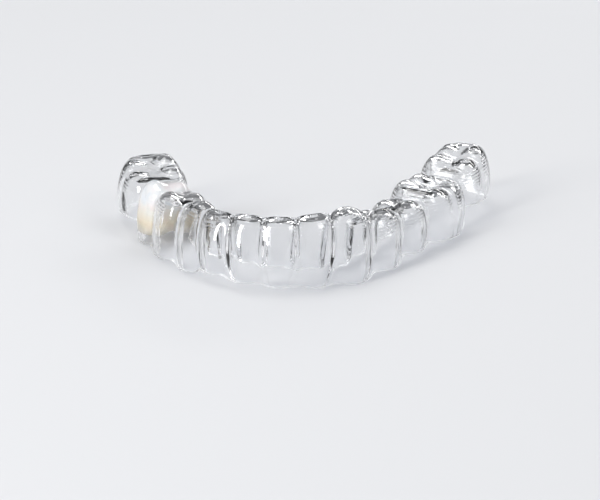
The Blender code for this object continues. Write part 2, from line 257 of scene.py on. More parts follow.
SECOND_MOLAR = FIRST_MOLAR._replace(
    face=(4.3, 4.6, 3.6),
    back=(4.2, 4.6, 3.6),
    cusps=((-0.45, 2.7, 0.2), (0.4, 2.7, 0.2), (-0.45, -2.7, 0.0), (0.4, -2.7, 0.4)),
)

TEETH = (
    Tooth("right central incisor", RIGHT, INCISOR, 5.2, 10.4, 0.1),
    Tooth("right lateral incisor", RIGHT, INCISOR, 5.8, 10.8, 0.0, 3.0),
    Tooth("right canine", RIGHT, CANINE, 6.5, 11.5, 0.05),
    Tooth("right first premolar", RIGHT, FIRST_PREMOLAR, 6.9, 10.3, 1.15, 0.0, -0.2),
    Tooth("right second premolar", RIGHT, SECOND_PREMOLAR, 7.0, 10.4, 2.7, 0.0, -0.1),
    Tooth("right first molar", RIGHT, FIRST_MOLAR, 11.6, 12.0, 3.3, 0.0, -0.1),
    Tooth("right second molar", RIGHT, SECOND_MOLAR, 11.8, 14.5, 6.9, 15.0, -0.4),
    Tooth("left central incisor", LEFT, INCISOR, 5.2, 10.4, 0.45),
    Tooth("left lateral incisor", LEFT, INCISOR, 5.6, 10.1, 0.95),
    Tooth("left canine", LEFT, CANINE, 6.4, 10.5, -0.1, 0.0, -0.8),
    Tooth("left first premolar", LEFT, SECOND_PREMOLAR, 7.1, 10.7, 0.5, 0.0, 0.2),
    Tooth("left second premolar", LEFT, SECOND_PREMOLAR, 6.6, 11.0, 1.2, 0.0, 0.5),
    Tooth("left first molar", LEFT, FIRST_MOLAR, 11.1, 12.1, 3.9, 12.0, 0.3),
)
FILLED_TOOTH = "left second premolar"
print("teeth:", len(TEETH))

# %% [markdown]
# ## One crown as a distance
#
# A crown could be sculpted, but thirteen of them have to melt into one skin, and a pressed sheet
# has soft valleys where they meet. So each crown is a rule that says roughly how far a point is
# from its surface, negative inside. Two such rules are joined by a smooth minimum, which rounds the
# valley between them by a chosen blend. The sheet's outside is the same rule with its thickness
# taken off. Its corners and valleys are softer, as a pressed sheet bridges them, so the wall is
# nearly even but not quite.

# %% One crown
BELLY = 0.4
SHARE_LIMITS = (-0.1, 1.1)
CONTACT_OVERLAP = 1.04
CUSP_TIP = 0.9
CUSP_BLEND = 0.8
RIDGE_PLACE = 0.82
ROOF_LEAN = 0.85
FURROW_WIDTH = 0.9
FAN_LIMITS = (0.6, 1.5)
LEAST_SIZE = 1e-4


def smooth_min(a, b, blend):
    overlap = np.maximum(blend - np.abs(a - b), 0.0) / blend
    return np.minimum(a, b) - overlap * overlap * blend / 4


def smooth_max(a, b, blend):
    return -smooth_min(-a, -b, blend)


def through(triple, share):
    """The parabola through a value at the foot, one at the belly and one at the top."""
    foot, belly, top = triple
    h = np.clip(share, *SHARE_LIMITS)
    return (
        foot * (h - BELLY) * (h - 1) / BELLY
        + belly * h * (h - 1) / (BELLY * (BELLY - 1))
        + top * h * (h - BELLY) / (1 - BELLY)
    )


class Crown:
    """One crown in its place: its middle, its directions and the form of its faces."""

    def __init__(self, tooth, near):
        self.tooth = tooth
        self.near = near
        self.far = near + tooth.side * tooth.width
        self.middle = (self.near + self.far) / 2
        self.centre, self.along, self.out = arch_frame(self.middle)
        self.centre = self.centre + tooth.shift * self.out
        turn = arch_frame(self.near)[2] - arch_frame(self.far)[2]
        self.fan = float(np.linalg.norm(turn)) / tooth.width

    def occlusal(self, distal, out):
        """Height of the biting surface below the crown's top."""
        form = self.tooth.form
        half = self.tooth.width / 2
        height = np.full(np.shape(distal), -form.pit)
        for share, across, drop in form.cusps:
            run = np.hypot(distal - share * half, out - across)
            cone = -drop - form.slope * (np.hypot(run, CUSP_TIP) - CUSP_TIP)
            height = smooth_max(height, cone, CUSP_BLEND)
        edge = np.abs(np.abs(distal) - RIDGE_PLACE * half)
        return smooth_max(height, -form.ridge_drop - form.slope * edge, CUSP_BLEND)

    def field(self, x, y, z, corner):
        """Roughly the distance to this crown's surface, negative inside it."""
        tooth = self.tooth
        form = tooth.form
        dx = x - self.centre[0]
        dy = y - self.centre[1]
        distal = tooth.side * (dx * self.along[0] + dy * self.along[1])
        out = dx * self.out[0] + dy * self.out[1]
        share = (z - tooth.foot) / (tooth.top - tooth.foot)
        half = CONTACT_OVERLAP * tooth.width / 2 * through(form.waist, share)
        half = half * np.clip(1 + self.fan * out, *FAN_LIMITS)
        depth = np.where(out > 0, through(form.face, share), through(form.back, share))
        furrow = form.furrow * np.exp(-((distal / FURROW_WIDTH) ** 2))
        depth = depth - furrow * np.clip(share, 0, 1) ** 2
        n = form.squareness
        size = (np.abs(distal / half) ** n + np.abs(out / depth) ** n) ** (1 / n)
        reach = np.hypot(distal, out)
        wall = reach - reach / np.maximum(size, LEAST_SIZE)
        lean = math.tan(math.radians(tooth.tip)) * distal
        roof = z - tooth.top - lean - self.occlusal(distal, out)
        return smooth_max(wall, ROOF_LEAN * roof, corner)


def place_crowns():
    """All crowns from the end of the left arm to the end of the right arm."""
    crowns = []
    for side in (LEFT, RIGHT):
        near = 0.0
        for tooth in (tooth for tooth in TEETH if tooth.side == side):
            crowns.append(Crown(tooth, near))
            near = crowns[-1].far
    return sorted(crowns, key=lambda crown: crown.middle)


CROWNS = place_crowns()
MIDDLES = np.array([crown.middle for crown in CROWNS])
print("arch length over all crowns, mm:", round(CROWNS[-1].far - CROWNS[0].far, 1))

# %% [markdown]
# ## The gum ridge and the trimmed edge
#
# Between and below the crowns the sheet follows the gum. That part is worked out in cross-sections
# along the arch, with every size carried smoothly from one tooth to the next. The trimmed edge is
# nearly level on each tooth and steps where two teeth meet, and it sits higher on the tongue side.

# %% Gum ridge and trim
RIDGE_CORNER = 1.2
BACK_TRIM_FRONT = 2.0
BACK_TRIM_REAR = 0.7
BACK_TRIM_SPAN = 16.0
TRIM_STEP = 0.6
PAPILLA_WIDTH = 1.2
END_SHARE = 0.6
END_MARGIN = 0.15


def along_arch(place, value):
    """A value of each crown, carried smoothly from one crown's middle to the next."""
    values = np.array([value(crown) for crown in CROWNS])
    index = np.clip(np.searchsorted(MIDDLES, place) - 1, 0, len(CROWNS) - 2)
    share = np.clip((place - MIDDLES[index]) / (MIDDLES[index + 1] - MIDDLES[index]), 0, 1)
    share = share * share * (3 - 2 * share)
    return values[index] * (1 - share) + values[index + 1] * share


def form_depth(place, part, share):
    """One of the kinds' triples, carried along the arch and read at a share of the height."""
    triple = []
    for k in range(3):
        value = along_arch(place, lambda crown: getattr(crown.tooth.form, part)[k])
        triple.append(value[:, None])
    return through(triple, share)


def trim_height(place, facing):
    """Height of the trimmed edge: level on each tooth, with a step and a peak where two teeth meet."""
    height = np.full(np.shape(place), CROWNS[0].tooth.foot)
    for before, after in zip(CROWNS, CROWNS[1:]):
        away = place - before.middle - before.tooth.width / 2
        height = height + (after.tooth.foot - before.tooth.foot) * (1 + np.tanh(away / TRIM_STEP)) / 2
        peak = (before.tooth.form.scallop + after.tooth.form.scallop) / 2
        height = height + peak * np.exp(-((away / PAPILLA_WIDTH) ** 2))
    front = np.exp(-((place / BACK_TRIM_SPAN) ** 2))
    rise = BACK_TRIM_REAR + (BACK_TRIM_FRONT - BACK_TRIM_REAR) * front
    return height + np.where(facing < 0, rise, 0.0)


class Columns(NamedTuple):
    """Columns of rays: where each starts, which way it looks, its place and the side it faces."""

    start: np.ndarray
    look: np.ndarray
    top_index: np.ndarray
    place: np.ndarray
    facing: np.ndarray


def ridge_field(columns, run, z, corner):
    """The gum ridge and the filled spaces between crowns, in each column's own plane."""
    foot = along_arch(columns.place, lambda crown: crown.tooth.foot)[:, None]
    top = along_arch(columns.place, lambda crown: crown.tooth.top)[:, None]
    notch = along_arch(columns.place, lambda crown: crown.tooth.form.notch)[:, None]
    shift = along_arch(columns.place, lambda crown: crown.tooth.shift)[:, None]
    share = (z - foot) / (top - foot)
    face, back, sink = (form_depth(columns.place, part, share) for part in ("face", "back", "sink"))
    facing = columns.facing[:, None]
    outer = (1 + facing) / 2
    reach = face * outer + back * (1 - outer) + shift * facing
    end = np.sqrt(1 - np.clip(facing**2, 0, 1))
    widths = np.where(columns.place > 0, CROWNS[-1].tooth.width, CROWNS[0].tooth.width)[:, None]
    reach = reach * (1 - end) + (1 - END_SHARE) * widths * end
    return smooth_max(run - reach + sink, z - top + notch, corner)


# %% [markdown]
# ## Finding the skin with rays
#
# A rule has no surface until something looks for it. Marching cubes would find one, but its
# triangles leave a grain that clear plastic shows at once. Here rays leave the arch's centre line,
# level up the wall and fanned over the top, and each is halved until it sits on the surface. The
# inside and the outside use the same rays, so their points pair up, row by row.

# %% Rays
SHEET = 0.75
INNER_CORNER = 0.9
OUTER_CORNER = 1.7
INNER_VALLEY = 0.4
OUTER_VALLEY = 0.6
WALL_SHARES = (0.0, 0.015, 0.05, 0.12, 0.22, 0.34, 0.47, 0.6, 0.73, 0.86)
ROOF_ROWS = 12
ROOF_TURNS = np.pi / 2 * np.arange(ROOF_ROWS) / ROOF_ROWS
END_COLUMNS = 29
HALVINGS = 26


def station_places():
    """Places of the cross-sections, closer together where two teeth meet."""
    places = []
    for crown in CROWNS:
        count = crown.tooth.form.stations
        shares = (1 - np.cos(np.pi * np.arange(count) / count)) / 2
        places.extend(crown.middle - crown.tooth.width / 2 + crown.tooth.width * shares)
    places = np.array(places)
    low = CROWNS[0].near - END_SHARE * CROWNS[0].tooth.width
    high = CROWNS[-1].near + END_SHARE * CROWNS[-1].tooth.width
    kept = places[(places > low + END_MARGIN) & (places < high - END_MARGIN)]
    return np.concatenate([[low], kept, [high]])


def make_columns(places):
    """A closed ring of columns: outer face, round the right end, inner face, round the left end."""
    point, along, out = arch_frame(places)
    last = len(places) - 1
    rows = [(k, out[k], 1.0) for k in range(last + 1)]
    turns = np.pi * np.arange(1, END_COLUMNS + 1) / (END_COLUMNS + 1)
    for turn in turns:
        rows.append((last, math.cos(turn) * out[last] + math.sin(turn) * along[last], math.cos(turn)))
    rows += [(k, -out[k], -1.0) for k in range(last, -1, -1)]
    for turn in turns:
        rows.append((0, -math.cos(turn) * out[0] - math.sin(turn) * along[0], -math.cos(turn)))
    index = np.array([row[0] for row in rows])
    look = np.array([row[1] for row in rows])
    facing = np.array([row[2] for row in rows])
    return Columns(point[index], look, index, places[index], facing)


def form_field(columns, points, run, outside):
    """The whole form under the sheet, or with the sheet put on."""
    thickness = SHEET if outside else 0.0
    corner = OUTER_CORNER if outside else INNER_CORNER
    valley = OUTER_VALLEY if outside else INNER_VALLEY
    x, y, z = points[..., 0], points[..., 1], points[..., 2]
    total = ridge_field(columns, run, z, RIDGE_CORNER) - thickness
    for crown in CROWNS:
        total = smooth_min(total, crown.field(x, y, z, corner) - thickness, valley)
    return total


def ray_rows(columns, low):
    """Start height and slope of each ray: level rays up the wall, then a fan over the top."""
    core = along_arch(columns.place, lambda crown: crown.tooth.form.core)
    centre = along_arch(columns.place, lambda crown: crown.tooth.top) - core
    deep = along_arch(columns.place, lambda crown: crown.tooth.form.face[2])
    shares = np.array(WALL_SHARES)
    wall = np.ones((len(low), len(shares)))
    roof = np.ones((len(low), ROOF_ROWS))
    start = np.hstack([low[:, None] + (centre - low)[:, None] * shares, centre[:, None] * roof])
    across = np.hstack([wall, deep[:, None] * np.cos(ROOF_TURNS)])
    up = np.hstack([0 * wall, core[:, None] * np.sin(ROOF_TURNS)])
    length = np.hypot(across, up)
    return start, across / length, up / length


def ray_points(columns, start, across, up, reach):
    flat = (reach * across)[..., None] * columns.look[:, None, :]
    spot = columns.start[:, None, :] + flat
    return np.concatenate([spot, (start + reach * up)[..., None]], axis=-1)


def cast_rays(columns, start, across, up, outside):
    """How far each ray goes before it leaves the form, by halving.

    No crown is deeper than the widest one is wide, so no ray looks further than that.
    """
    low = np.zeros(start.shape)
    high = np.full(start.shape, max(tooth.width for tooth in TEETH))
    for _ in range(HALVINGS):
        middle = (low + high) / 2
        points = ray_points(columns, start, across, up, middle)
        inside = form_field(columns, points, middle * across, outside) < 0
        low = np.where(inside, middle, low)
        high = np.where(inside, high, middle)
    return (low + high) / 2


def skin(places, columns, low, outside, inset=0.0):
    """Points of one skin: those of the columns, row by row, and those along the top."""
    start, across, up = ray_rows(columns, low)
    reach = cast_rays(columns, start, across, up, outside) - inset
    point, _, out = arch_frame(places)
    crest = Columns(point, out, np.arange(len(places)), places, np.ones(len(places)))
    middle = along_arch(places, lambda crown: crown.tooth.top - crown.tooth.form.core)[:, None]
    level = np.zeros(middle.shape)
    rise = cast_rays(crest, middle, level, level + 1, outside) - inset
    return (
        ray_points(columns, start, across, up, reach),
        ray_points(crest, middle, level, level + 1, rise)[:, 0],
    )


places = station_places()
columns = make_columns(places)
low = trim_height(columns.place, columns.facing)
inner_wall, inner_crest = skin(places, columns, low, False)
outer_wall, outer_crest = skin(places, columns, low, True)
print("columns and rows of the skin:", inner_wall.shape[:2])

# %% [markdown]
# ## Laying it on the table
#
# Off the teeth, an aligner rests wells down on the lowest points of its trimmed edge: one at the
# front and one on each arm. The turn that brings those three to one height is found in a few
# rounds, because each turn can change which points are lowest.

# %% Rest
FRONT_END = 6.0
ARM_START = 14.0
LAYING_TURNS = 8
FLAT_EDGE = 0.25


def settle(points):
    """The turn and lift that lay the points on a table, on the front and on the two arms."""
    groups = (
        points[:, 1] < FRONT_END,
        (points[:, 0] < 0) & (points[:, 1] > ARM_START),
        (points[:, 0] > 0) & (points[:, 1] > ARM_START),
    )
    turn = np.eye(3)
    for _ in range(LAYING_TURNS):
        laid = points @ turn.T
        feet = [laid[group][np.argmin(laid[group][:, 2])] for group in groups]
        normal = np.cross(feet[1] - feet[0], feet[2] - feet[0])
        normal = Vector(normal * np.sign(normal[2]))
        turn = np.array(normal.rotation_difference(Vector((0, 0, 1))).to_matrix()) @ turn
    laid = points @ turn.T
    middle = (laid.min(0) + laid.max(0)) / 2
    return turn, np.array([-middle[0], -middle[1], -laid[:, 2].min() - FLAT_EDGE])


def lay(points):
    """Points laid on the table, in metres, with the trimmed edge cut level where it would dip below."""
    laid = points @ TURN.T + MOVE
    laid[..., 2] = np.maximum(laid[..., 2], 0.0)
    return laid * MM


TURN, MOVE = settle(np.concatenate([inner_wall[:, 0], outer_wall.reshape(-1, 3)]))
print("tilt against the bite, degrees:", round(math.degrees(math.acos(TURN[2][2])), 2))

# %% [markdown]
# ## The sheet, by Geometry Nodes
#
# The inner skin is an open cap whose rim is the trimmed edge. Its faces are extruded by nothing,
# and then the new side is sent to the matching outer points, which every inner point carries as a
# vector. That gives a wall with a true thickness and a cut edge in one move, which Solidify can't
# do here, because it would offset by the normals and pinch in the valleys. One level of subdivision
# then rounds the cut edge, as the polishing wheel does. The level marks are wiped off the outer skin
# on the way, because only the inside carries them.

# %% Pressed sheet tree
WELD_DISTANCE = 1e-6
ROUNDING_LEVEL = 1


def link_all(tree, pairs):
    for source, target in pairs:
        tree.links.new(source, target)


def pressed_sheet_tree():
    tree = bpy.data.node_groups.new("pressed_sheet", "GeometryNodeTree")
    face = tree.interface
    face.new_socket("Skin", in_out="INPUT", socket_type="NodeSocketGeometry")
    weld = face.new_socket("Weld Distance", in_out="INPUT", socket_type="NodeSocketFloat")
    weld.default_value = WELD_DISTANCE
    level = face.new_socket("Rounding Level", in_out="INPUT", socket_type="NodeSocketInt")
    level.default_value = ROUNDING_LEVEL
    face.new_socket("Material", in_out="INPUT", socket_type="NodeSocketMaterial")
    face.new_socket("Sheet", in_out="OUTPUT", socket_type="NodeSocketGeometry")
    nodes = tree.nodes
    inputs = nodes.new("NodeGroupInput")
    outputs = nodes.new("NodeGroupOutput")
    pulled = nodes.new("GeometryNodeExtrudeMesh")
    pulled.mode = "FACES"
    pulled.inputs["Individual"].default_value = False
    pulled.inputs["Offset Scale"].default_value = 0.0
    target = nodes.new("GeometryNodeInputNamedAttribute")
    target.data_type = "FLOAT_VECTOR"
    target.inputs["Name"].default_value = "outer_place"
    placed = nodes.new("GeometryNodeSetPosition")
    unlined = nodes.new("GeometryNodeStoreNamedAttribute")
    unlined.data_type = "FLOAT"
    unlined.domain = "POINT"
    unlined.inputs["Name"].default_value = "level_marks"
    unlined.inputs["Value"].default_value = 0.0
    turned = nodes.new("GeometryNodeFlipFaces")
    joined = nodes.new("GeometryNodeJoinGeometry")
    welded = nodes.new("GeometryNodeMergeByDistance")
    rounded = nodes.new("GeometryNodeSubdivisionSurface")
    smooth = nodes.new("GeometryNodeSetShadeSmooth")
    realized = nodes.new("GeometryNodeRealizeInstances")
    painted = nodes.new("GeometryNodeSetMaterial")
    link_all(
        tree,
        (
            (inputs.outputs["Skin"], pulled.inputs["Mesh"]),
            (pulled.outputs["Mesh"], placed.inputs["Geometry"]),
            (pulled.outputs["Top"], placed.inputs["Selection"]),
            (target.outputs["Attribute"], placed.inputs["Position"]),
            (inputs.outputs["Skin"], turned.inputs["Mesh"]),
            (turned.outputs["Mesh"], joined.inputs["Geometry"]),
            (placed.outputs["Geometry"], unlined.inputs["Geometry"]),
            (pulled.outputs["Top"], unlined.inputs["Selection"]),
            (unlined.outputs["Geometry"], joined.inputs["Geometry"]),
            (joined.outputs["Geometry"], welded.inputs["Geometry"]),
            (inputs.outputs["Weld Distance"], welded.inputs["Distance"]),
            (welded.outputs["Geometry"], rounded.inputs["Mesh"]),
            (inputs.outputs["Rounding Level"], rounded.inputs["Level"]),
            (rounded.outputs["Mesh"], smooth.inputs["Geometry"]),
            (smooth.outputs["Geometry"], realized.inputs["Geometry"]),
            (realized.outputs["Geometry"], painted.inputs["Geometry"]),
            (inputs.outputs["Material"], painted.inputs["Material"]),
            (painted.outputs["Geometry"], outputs.inputs["Sheet"]),
        ),
    )
    return tree


def apply_tree(thing, tree, values):
    """Runs a tree on an object with named values, and keeps the result as a plain mesh."""
    modifier = thing.modifiers.new(tree.name, "NODES")
    modifier.node_group = tree
    for item in tree.interface.items_tree:
        if item.in_out == "INPUT" and item.name in values:
            modifier[item.identifier] = values[item.name]
    graph = bpy.context.evaluated_depsgraph_get()
    mesh = bpy.data.meshes.new_from_object(thing.evaluated_get(graph))
    thing.modifiers.remove(modifier)
    thing.data = mesh
    return thing


def new_object(name, points, faces):
    mesh = bpy.data.meshes.new(name)
    mesh.from_pydata([tuple(point) for point in points], [], faces)
    mesh.update()
    thing = bpy.data.objects.new(name, mesh)
    bpy.context.scene.collection.objects.link(thing)
    return thing


# %% [markdown]
# ## Shared finish
#
# Two effects are used by both materials, so each is a shader group. The first is the faint ripple
# that a heated sheet keeps after it is pulled over teeth. The second is the set of fine level lines
# on the inside of such a sheet, like contour lines on a map. They show on the biting faces, which
# are nearly level, so the group takes a mask.

# %% Finish groups
RIDGE_SHARPNESS = 5.0
LEVEL_STEP = 0.45 * MM


def new_group(name, sockets):
    group = bpy.data.node_groups.new(name, "ShaderNodeTree")
    for label, direction, kind, value in sockets:
        socket = group.interface.new_socket(label, in_out=direction, socket_type=kind)
        if value is not None:
            socket.default_value = value
    return group, group.nodes.new("NodeGroupInput"), group.nodes.new("NodeGroupOutput")


def math_node(nodes, operation, *values):
    node = nodes.new("ShaderNodeMath")
    node.operation = operation
    for socket, value in zip(node.inputs, values):
        if isinstance(value, (int, float)):
            socket.default_value = value
        elif value is not None:
            node.id_data.links.new(value, socket)
    return node.outputs["Value"]


def ripple_group():
    """Height of a soft ripple, from its size in waves per metre and its depth."""
    group, inputs, outputs = new_group(
        "pressed_ripple",
        (
            ("Vector", "INPUT", "NodeSocketVector", None),
            ("Waves", "INPUT", "NodeSocketFloat", None),
            ("Depth", "INPUT", "NodeSocketFloat", 1.0),
            ("Height", "OUTPUT", "NodeSocketFloat", None),
        ),
    )
    noise = group.nodes.new("ShaderNodeTexNoise")
    noise.inputs["Detail"].default_value = 1.0
    group.links.new(inputs.outputs["Vector"], noise.inputs["Vector"])
    group.links.new(inputs.outputs["Waves"], noise.inputs["Scale"])
    height = math_node(group.nodes, "MULTIPLY", noise.outputs["Fac"], inputs.outputs["Depth"])
    group.links.new(height, outputs.inputs["Height"])
    return group


def level_line_group():
    """Height of thin ridges at every step of height along the object's Z, where the mask is on."""
    group, inputs, outputs = new_group(
        "level_lines",
        (
            ("Vector", "INPUT", "NodeSocketVector", None),
            ("Mask", "INPUT", "NodeSocketFloat", 1.0),
            ("Step", "INPUT", "NodeSocketFloat", LEVEL_STEP),
            ("Depth", "INPUT", "NodeSocketFloat", 1.0),
            ("Height", "OUTPUT", "NodeSocketFloat", None),
        ),
    )
    nodes = group.nodes
    split = nodes.new("ShaderNodeSeparateXYZ")
    group.links.new(inputs.outputs["Vector"], split.inputs["Vector"])
    steps = math_node(nodes, "DIVIDE", split.outputs["Z"], inputs.outputs["Step"])
    wave = math_node(nodes, "COSINE", math_node(nodes, "MULTIPLY", steps, 2 * math.pi))
    upper = math_node(nodes, "MULTIPLY_ADD", wave, 0.5, 0.5)
    ridge = math_node(nodes, "POWER", upper, RIDGE_SHARPNESS)
    masked = math_node(nodes, "MULTIPLY", ridge, inputs.outputs["Mask"])
    height = math_node(nodes, "MULTIPLY", masked, inputs.outputs["Depth"])
    group.links.new(height, outputs.inputs["Height"])
    return group


RIPPLE = ripple_group()
LEVEL_LINES = level_line_group()


def place_group(nodes, group, vector, mask=None, **values):
    """Puts a finish group into a material and gives its height."""
    node = nodes.new("ShaderNodeGroup")
    node.node_tree = group
    node.id_data.links.new(vector, node.inputs["Vector"])
    if mask is not None:
        node.id_data.links.new(mask, node.inputs["Mask"])
    for name, value in values.items():
        node.inputs[name].default_value = value
    return node.outputs["Height"]


def surface_value(nodes, name):
    """A value that the mesh carries on its points, such as how near the cut edge is."""
    reader = nodes.new("ShaderNodeAttribute")
    reader.attribute_name = name
    return reader.outputs["Fac"]


def map_range(nodes, source, low, high):
    node = nodes.new("ShaderNodeMapRange")
    node.inputs["From Min"].default_value = low
    node.inputs["From Max"].default_value = high
    node.id_data.links.new(source, node.inputs["Value"])
    return node.outputs["Result"]


def colour_ramp(nodes, source, stops):
    """A ramp through (position, colour) stops."""
    node = nodes.new("ShaderNodeValToRGB")
    elements = node.color_ramp.elements
    while len(elements) < len(stops):
        elements.new(0.5)
    for element, (position, colour) in zip(elements, stops):
        element.position = position
        element.color = colour
    node.id_data.links.new(source, node.inputs["Fac"])
    return node.outputs["Color"]


def new_material(name):
    material = bpy.data.materials.new(name)
    material.use_nodes = True
    return material, material.node_tree.nodes, material.node_tree.links


def bump_from(nodes, links, heights, distance, strength, shader):
    """Adds heights up and gives them to a shader as one bump."""
    height = heights[0]
    for other in heights[1:]:
        height = math_node(nodes, "ADD", height, other)
    bump = nodes.new("ShaderNodeBump")
    bump.inputs["Distance"].default_value = distance
    bump.inputs["Strength"].default_value = strength
    links.new(height, bump.inputs["Height"])
    links.new(bump.outputs["Normal"], shader.inputs["Normal"])


# %% [markdown]
# ## Clear sheet
#
# Clear plastic is a Principled shader with full transmission and the index of the real sheet. Two
# details sell it. The cut edge is a little frosted where the trimming bur ran, so roughness rises
# near it. And the rays that carry lamp light pass straight through with a tint that is light where
# the wall faces them and darker where it is steep. Otherwise the sheet would throw the shadow of a
# solid thing.

# %% Clear sheet material
SHEET_TINT = (0.965, 0.968, 0.972, 1.0)
SHEET_INDEX = 1.53
SHEET_SHADOW = (0.95, 0.955, 0.965, 1.0)
STEEP_SHADOW = (0.55, 0.56, 0.58, 1.0)
SHADOW_STOPS = ((0.1, SHEET_SHADOW), (0.9, STEEP_SHADOW))
STEEP_BLEND = 0.3
SHEET_POLISH = 0.015
EDGE_FROST = 0.5
SHEET_RIPPLES = ((260.0, 1.0), (900.0, 0.12))
SHEET_LINES = 0.35
SHEET_BUMP = 0.12 * MM


def lamp_light_through(nodes, links, shader, output):
    """Lets the rays that carry lamp light pass, tinted by how steep the wall is to them."""
    path = nodes.new("ShaderNodeLightPath")
    lamp_ray = math_node(nodes, "MAXIMUM", path.outputs["Is Shadow Ray"], path.outputs["Is Diffuse Ray"])
    clear = nodes.new("ShaderNodeBsdfTransparent")
    steep = nodes.new("ShaderNodeLayerWeight")
    steep.inputs["Blend"].default_value = STEEP_BLEND
    links.new(colour_ramp(nodes, steep.outputs["Facing"], SHADOW_STOPS), clear.inputs["Color"])
    mixed = nodes.new("ShaderNodeMixShader")
    links.new(lamp_ray, mixed.inputs[0])
    links.new(shader.outputs["BSDF"], mixed.inputs[1])
    links.new(clear.outputs["BSDF"], mixed.inputs[2])
    links.new(mixed.outputs["Shader"], output.inputs["Surface"])


def clear_sheet_material():
    material, nodes, links = new_material("clear_sheet")
    shader = nodes["Principled BSDF"]
    shader.inputs["Base Color"].default_value = SHEET_TINT
    shader.inputs["Transmission Weight"].default_value = 1.0
    shader.inputs["IOR"].default_value = SHEET_INDEX
    place = nodes.new("ShaderNodeTexCoord").outputs["Object"]
    frost = math_node(nodes, "MULTIPLY", surface_value(nodes, "cut_edge"), EDGE_FROST)
    rough = math_node(nodes, "ADD", frost, SHEET_POLISH)
    links.new(rough, shader.inputs["Roughness"])
    marks = surface_value(nodes, "level_marks")
    heights = [place_group(nodes, RIPPLE, place, Waves=waves, Depth=depth) for waves, depth in SHEET_RIPPLES]
    heights.append(place_group(nodes, LEVEL_LINES, place, marks, Depth=SHEET_LINES))
    bump_from(nodes, links, heights, SHEET_BUMP, 1.0, shader)
    lamp_light_through(nodes, links, shader, nodes["Material Output"])
    return material


CLEAR_SHEET = clear_sheet_material()

# %% [markdown]
# ## Building the sheet
#
# The mesh handed to the tree is the inner skin alone: quads between neighbouring columns, closed
# along the crest. Each point carries its outer partner and two values that the material reads. One
# is 1 on the cut edge and fades within the first rows, for the frost. The other grows over the top
# to 1 along the crest, for the level marks.

# %% Sheet
EDGE_FADE = 0.35


def skin_faces(count, rows, top_index):
    faces = []
    for column in range(count):
        other = (column + 1) % count
        for row in range(rows - 1):
            left = column * rows + row
            right = other * rows + row
            faces.append([left, right, right + 1, left + 1])
        here = count * rows + top_index[column]
        there = count * rows + top_index[other]
        face = [column * rows + rows - 1, other * rows + rows - 1, there]
        faces.append(face if here == there else face + [here])
    return faces


def add_point_values(mesh, name, values):
    mesh.attributes.new(name, "FLOAT", "POINT").data.foreach_set("value", values.astype(np.float32))


def add_sheet():
    count, rows = inner_wall.shape[:2]
    inner = lay(np.concatenate([inner_wall.reshape(-1, 3), inner_crest]))
    outer = lay(np.concatenate([outer_wall.reshape(-1, 3), outer_crest]))
    cap = new_object("aligner_sheet", inner, skin_faces(count, rows, columns.top_index))
    partner = cap.data.attributes.new("outer_place", "FLOAT_VECTOR", "POINT")
    partner.data.foreach_set("vector", outer.astype(np.float32).ravel())
    above = inner_wall[:, :, 2] - inner_wall[:, :1, 2]
    frost = np.concatenate([np.exp(-above / EDGE_FADE).ravel(), np.zeros(len(inner_crest))])
    add_point_values(cap.data, "cut_edge", frost)
    column_marks = np.concatenate([np.zeros(len(WALL_SHARES)), np.sin(ROOF_TURNS)])
    marks = np.concatenate([np.tile(column_marks, count), np.ones(len(inner_crest))])
    add_point_values(cap.data, "level_marks", marks)
    values = {"Weld Distance": WELD_DISTANCE, "Rounding Level": ROUNDING_LEVEL, "Material": CLEAR_SHEET}
    return apply_tree(cap, pressed_sheet_tree(), values)


sheet = add_sheet()
print("sheet faces:", len(sheet.data.polygons))
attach(sheet, "root")
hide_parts("aligner_shell")

# %% [markdown]
# ## The white tooth
#
# The filling is brushed into its well as a tooth-coloured resin and fuses with the sheet. Its faces
# come from the same rays, and they reach a few hundredths of a millimetre into the wall. With a film
# of air between the two, the white would look like a loose pebble behind glass. It is whitest towards
# the biting edge and creamier lower down, and its lowest part thins out until it is see-through.
# A slice of the arch is easier to build as rings of points than as a cut from the sheet.

# %% Filling
BOND_DEPTH = 0.05
FILLING_END_GAP = 0.3
FILLING_FOOT = 1.8
FILLING_HOLLOW = 0.8
FILLING_STATIONS = 30
FILLING_WHITE = (0.85, 0.85, 0.845, 1.0)
FILLING_CREAM = (0.79, 0.69, 0.5, 1.0)
FILLING_BODY = ((0.3, FILLING_CREAM), (0.75, FILLING_WHITE))
FILLING_FADE = (0.0, 0.36)
FILLING_ROUGHNESS = 0.35
CLOUD_SCALE = 420.0
CLOUD_BLUE = (0.93, 0.965, 1.0, 1.0)
CLOUD_CLEAR = (1.0, 1.0, 1.0, 1.0)
CLOUD_PINK = (1.0, 0.94, 0.945, 1.0)
CLOUD_TINTS = ((0.35, CLOUD_BLUE), (0.5, CLOUD_CLEAR), (0.65, CLOUD_PINK))
FILLING_WAVES = 500.0
FILLING_LINES = 0.1
FILLING_BUMP = 0.2 * MM
FILLING_BUMP_STRENGTH = 0.8


